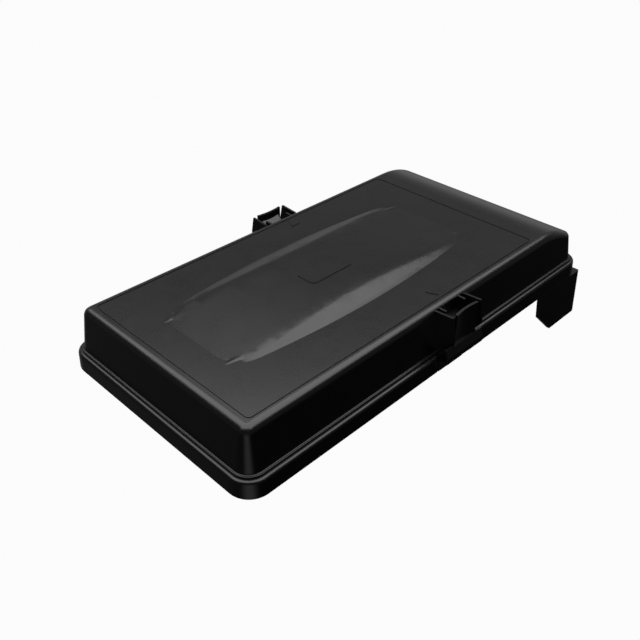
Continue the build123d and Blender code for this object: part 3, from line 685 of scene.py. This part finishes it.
def remesh_evenly(tree, shape_socket, size_socket):
    """An even skin over a closed shape, through a volume."""
    solid = tree.nodes.new("GeometryNodeMeshToVolume")
    solid.resolution_mode = "VOXEL_SIZE"
    skin = tree.nodes.new("GeometryNodeVolumeToMesh")
    skin.resolution_mode = "VOXEL_SIZE"
    tree.links.new(shape_socket, solid.inputs["Mesh"])
    tree.links.new(size_socket, solid.inputs["Voxel Size"])
    tree.links.new(solid.outputs["Volume"], skin.inputs["Volume"])
    tree.links.new(size_socket, skin.inputs["Voxel Size"])
    return skin.outputs["Mesh"]


even = remesh_evenly(bait_tree, bait_in.outputs["Shape"], bait_in.outputs["Skin Size"])
lumps = bait_tree.nodes.new("ShaderNodeTexNoise")
lumps.noise_dimensions = "4D"
lumps.inputs["Scale"].default_value = LUMPS_PER_METRE
lumps.inputs["Detail"].default_value = 3.0
bait_tree.links.new(bait_in.outputs["Seed"], lumps.inputs["W"])
centred = maths(bait_tree, "SUBTRACT", lumps.outputs["Fac"], LUMP_LEVEL)
depth = maths(bait_tree, "MULTIPLY", centred, bait_in.outputs["Roughening"])
outward = bait_tree.nodes.new("ShaderNodeVectorMath")
outward.operation = "SCALE"
skin_normal = bait_tree.nodes.new("GeometryNodeInputNormal").outputs[0]
bait_tree.links.new(skin_normal, outward.inputs[0])
bait_tree.links.new(maths(bait_tree, "MULTIPLY", depth, LUMP_GAIN), outward.inputs["Scale"])
rough_skin = add_node(
    bait_tree, "GeometryNodeSetPosition", Geometry=even, Offset=outward.outputs[0]
)
wax_skin = add_node(
    bait_tree, "GeometryNodeSetMaterial", Geometry=rough_skin.outputs[0], Material=wax_finish
)
spots = add_node(
    bait_tree,
    "GeometryNodeDistributePointsOnFaces",
    Mesh=rough_skin.outputs[0],
    Density=bait_in.outputs["Flakes Per Area"],
    Seed=bait_in.outputs["Seed"],
)
flake = add_node(
    bait_tree,
    "GeometryNodeMeshIcoSphere",
    Radius=bait_in.outputs["Flake Size"],
    Subdivisions=BALL_STEPS,
)
flat_flake = add_node(
    bait_tree, "GeometryNodeTransform", Geometry=flake.outputs[0], Scale=FLAKE_SHAPE
)
spin = bait_tree.nodes.new("FunctionNodeRandomValue")
spin.data_type = "FLOAT_VECTOR"
spin.inputs["Min"].default_value = (-FLAKE_TILT, -FLAKE_TILT, 0.0)
spin.inputs["Max"].default_value = (FLAKE_TILT, FLAKE_TILT, FULL_TURN)
bait_tree.links.new(bait_in.outputs["Seed"], spin.inputs["Seed"])
turn = add_node(
    bait_tree,
    "FunctionNodeRotateRotation",
    Rotation=spots.outputs["Rotation"],
    Rotate_By=spin.outputs[0],
)
turn.rotation_space = "LOCAL"
sized = bait_tree.nodes.new("FunctionNodeRandomValue")
sized.inputs[2].default_value, sized.inputs[3].default_value = FLAKE_SCALES
flakes = add_node(
    bait_tree,
    "GeometryNodeInstanceOnPoints",
    Points=spots.outputs["Points"],
    Instance=flat_flake.outputs[0],
    Rotation=turn.outputs[0],
    Scale=sized.outputs[1],
)
real_flakes = add_node(bait_tree, "GeometryNodeRealizeInstances", Geometry=flakes.outputs[0])
dressed_flakes = add_node(
    bait_tree, "GeometryNodeSetMaterial", Geometry=real_flakes.outputs[0], Material=flake_finish
)
together = bait_tree.nodes.new("GeometryNodeJoinGeometry")
bait_tree.links.new(wax_skin.outputs[0], together.inputs[0])
bait_tree.links.new(dressed_flakes.outputs[0], together.inputs[0])
smooth = add_node(bait_tree, "GeometryNodeSetShadeSmooth", Geometry=together.outputs[0])
bait_tree.links.new(smooth.outputs[0], bait_out.inputs["Shape"])

# %% Grow the six blocks
block_names = sorted(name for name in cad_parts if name.startswith("bait_block"))
for seed, name in enumerate(block_names, start=1):
    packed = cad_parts[name].data
    block = grow("pressed_" + name, bait_tree, {"Seed": seed}, "station", packed)
    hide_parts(name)

# %% [markdown]
# ## Crumbs in the tray
#
# Bait sheds crumbs. They lie on the tray's floor between and beside the rows. A tree scatters
# them over a sheet that it doesn't keep, so that the number and the size are two values. Crumbs
# placed one by one would have to be placed again for a tray of another size.

# %% Crumbs
TRAY_WALL = 1.6 * MM
TRAY_FLOOR = 1.6 * MM
CLEAR_OF_WALL = 6.0 * MM
CRUMB_SIZE = 0.8 * MM
CRUMB_REST = 0.3
CRUMB_SHAPE = (1.0, 0.7, 0.5)
CRUMB_TILT = 0.6
CRUMB_SCALES = (0.35, 1.0)

crumb_tree, crumb_in, crumb_out = shape_tree(
    "tray_crumbs",
    {"Length": 0.1, "Width": 0.1, "Crumb Size": CRUMB_SIZE, "Crumbs Per Area": 9000.0},
    {"Middle": (0.0, 0.0, 0.0)},
    {"Seed": 3},
)
sheet = add_node(
    crumb_tree,
    "GeometryNodeMeshGrid",
    Size_X=crumb_in.outputs["Length"],
    Size_Y=crumb_in.outputs["Width"],
)
laid = add_node(
    crumb_tree,
    "GeometryNodeTransform",
    Geometry=sheet.outputs[0],
    Translation=crumb_in.outputs["Middle"],
)
fallen = add_node(
    crumb_tree,
    "GeometryNodeDistributePointsOnFaces",
    Mesh=laid.outputs[0],
    Density=crumb_in.outputs["Crumbs Per Area"],
    Seed=crumb_in.outputs["Seed"],
)
crumb = add_node(
    crumb_tree,
    "GeometryNodeMeshIcoSphere",
    Radius=crumb_in.outputs["Crumb Size"],
    Subdivisions=BALL_STEPS,
)
long_crumb = add_node(
    crumb_tree, "GeometryNodeTransform", Geometry=crumb.outputs[0], Scale=CRUMB_SHAPE
)
tumble = crumb_tree.nodes.new("FunctionNodeRandomValue")
tumble.data_type = "FLOAT_VECTOR"
tumble.inputs["Max"].default_value = (CRUMB_TILT, CRUMB_TILT, FULL_TURN)
crumb_scale = crumb_tree.nodes.new("FunctionNodeRandomValue")
crumb_scale.inputs[2].default_value, crumb_scale.inputs[3].default_value = CRUMB_SCALES
crumbs_laid = add_node(
    crumb_tree,
    "GeometryNodeInstanceOnPoints",
    Points=fallen.outputs["Points"],
    Instance=long_crumb.outputs[0],
    Rotation=tumble.outputs[0],
    Scale=crumb_scale.outputs[1],
)
finish_tree(crumb_tree, crumbs_laid.outputs[0], crumb_out, flake_finish)

tray_low, tray_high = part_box("bait_tray")
tray_middle = (tray_low + tray_high) / 2
crumb_z = tray_low.z + TRAY_FLOOR + CRUMB_REST * CRUMB_SIZE
crumb_sizes = {
    "Length": (tray_high - tray_low).x - 2 * (TRAY_WALL + CLEAR_OF_WALL),
    "Width": (tray_high - tray_low).y - 2 * (TRAY_WALL + CLEAR_OF_WALL),
    "Crumb Size": CRUMB_SIZE,
    "Middle": (tray_middle.x, tray_middle.y, crumb_z),
}
grow("tray_crumbs", crumb_tree, crumb_sizes, "station")

# %% [markdown]
# ## Lines on the service card
#
# The card under the lid is where a visit is noted. It carries ruled lines and no words. The lines
# could be drawn in its material, but thin printed strips keep crisp edges at any distance and
# need no coordinates laid out by hand. The same tree draws the rows and, turned, the columns.

# %% Ruled lines
INK_RISE = 0.02 * MM
INK_SINK = 0.03 * MM
INK_DENSE = (0.055, 0.065, 0.085)
INK_THIN = (0.10, 0.11, 0.13)
INK_PATCHES_PER_METRE = 900.0

ink_finish, tree, shader, place = blank_finish("printed_line", CARD_IOR, specular=0.3)
patchy = noise(tree, place, INK_PATCHES_PER_METRE)
tree.links.new(blend_colours(tree, patchy, INK_DENSE, INK_THIN), shader.inputs["Base Color"])
shader.inputs["Roughness"].default_value = 0.7

line_tree, line_in, line_out = shape_tree(
    "ruled_lines",
    {},
    {"First": (0.0, 0.0, 0.0), "Step": (0.0, 0.01, 0.0), "Strip": (0.09, 0.0003, 0.0001)},
    {"Count": 8},
)
row = add_node(
    line_tree,
    "GeometryNodeMeshLine",
    Count=line_in.outputs["Count"],
    Start_Location=line_in.outputs["First"],
    Offset=line_in.outputs["Step"],
)
strip = add_node(line_tree, "GeometryNodeMeshCube", Size=line_in.outputs["Strip"])
ruled = add_node(
    line_tree, "GeometryNodeInstanceOnPoints", Points=row.outputs[0], Instance=strip.outputs[0]
)
finish_tree(line_tree, ruled.outputs[0], line_out, ink_finish)

# %% Lines on the card
CARD_MARGIN = 5.0 * MM
ROW_COUNT = 9
COLUMN_COUNT = 5
LINE_WIDTH = 0.28 * MM

card_low, card_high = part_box("service_card")
card_width = card_high.y - card_low.y - 2 * CARD_MARGIN
card_length = card_high.x - card_low.x - 2 * CARD_MARGIN
line_z = card_low.z + (INK_SINK - INK_RISE) / 2
row_pitch = card_width / (ROW_COUNT - 1)
card_rows = {
    "First": ((card_low.x + card_high.x) / 2, card_low.y + CARD_MARGIN, line_z),
    "Step": (0.0, row_pitch, 0.0),
    "Strip": (card_length, LINE_WIDTH, INK_RISE + INK_SINK),
    "Count": ROW_COUNT,
}
grow("card_rows", line_tree, card_rows, "lid")
column_pitch = card_length / (COLUMN_COUNT - 1)
card_columns = {
    "First": (card_low.x + CARD_MARGIN, (card_low.y + card_high.y) / 2, line_z),
    "Step": (column_pitch, 0.0, 0.0),
    "Strip": (LINE_WIDTH, card_width + LINE_WIDTH, INK_RISE + INK_SINK),
    "Count": COLUMN_COUNT,
}
grow("card_columns", line_tree, card_columns, "lid")

# %% [markdown]
# ## Marks of the tool
#
# Every moulding carries the rings of the pins that pushed it out of its tool. They stand in rows
# on hidden faces: here under the roof and on the base's floor. A thin ring at each point of a
# grid is enough to read as one. It could be cut as a groove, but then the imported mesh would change.

# %% Ejector rings
RING_STEPS = 48
LINE_STEPS = 8

ring_tree, ring_in, ring_out = shape_tree(
    "ejector_rings",
    {"Ring Radius": 3.2 * MM, "Line Radius": 0.12 * MM, "Length": 0.2, "Width": 0.1},
    {"Middle": (0.0, 0.0, 0.0)},
    {"Along": 5, "Across": 2},
)
spread = add_node(
    ring_tree,
    "GeometryNodeMeshGrid",
    Size_X=ring_in.outputs["Length"],
    Size_Y=ring_in.outputs["Width"],
    Vertices_X=ring_in.outputs["Along"],
    Vertices_Y=ring_in.outputs["Across"],
)
spread_laid = add_node(
    ring_tree,
    "GeometryNodeTransform",
    Geometry=spread.outputs[0],
    Translation=ring_in.outputs["Middle"],
)
circle = add_node(
    ring_tree,
    "GeometryNodeCurvePrimitiveCircle",
    Radius=ring_in.outputs["Ring Radius"],
    Resolution=RING_STEPS,
)
section = add_node(
    ring_tree,
    "GeometryNodeCurvePrimitiveCircle",
    Radius=ring_in.outputs["Line Radius"],
    Resolution=LINE_STEPS,
)
ring = add_node(
    ring_tree,
    "GeometryNodeCurveToMesh",
    Curve=circle.outputs[0],
    Profile_Curve=section.outputs[0],
)
rings = add_node(
    ring_tree,
    "GeometryNodeInstanceOnPoints",
    Points=spread_laid.outputs[0],
    Instance=ring.outputs[0],
)
finish_tree(ring_tree, rings.outputs[0], ring_out, shell_finish)

ROOF_INSIDE = 35.8 * MM
FLOOR_TOP = 2.4 * MM
RINGS_MIDDLE_X = -20.0 * MM
roof_rings = {
    "Length": 170 * MM,
    "Width": 112 * MM,
    "Middle": (RINGS_MIDDLE_X, 0.0, ROOF_INSIDE),
    "Along": 5,
    "Across": 2,
}
floor_rings = {
    "Length": 110 * MM,
    "Width": 120 * MM,
    "Middle": (RINGS_MIDDLE_X, 0.0, FLOOR_TOP),
    "Along": 3,
    "Across": 2,
}
grow("roof_ejector_rings", ring_tree, roof_rings, "lid")
grow("floor_ejector_rings", ring_tree, floor_rings, "station")
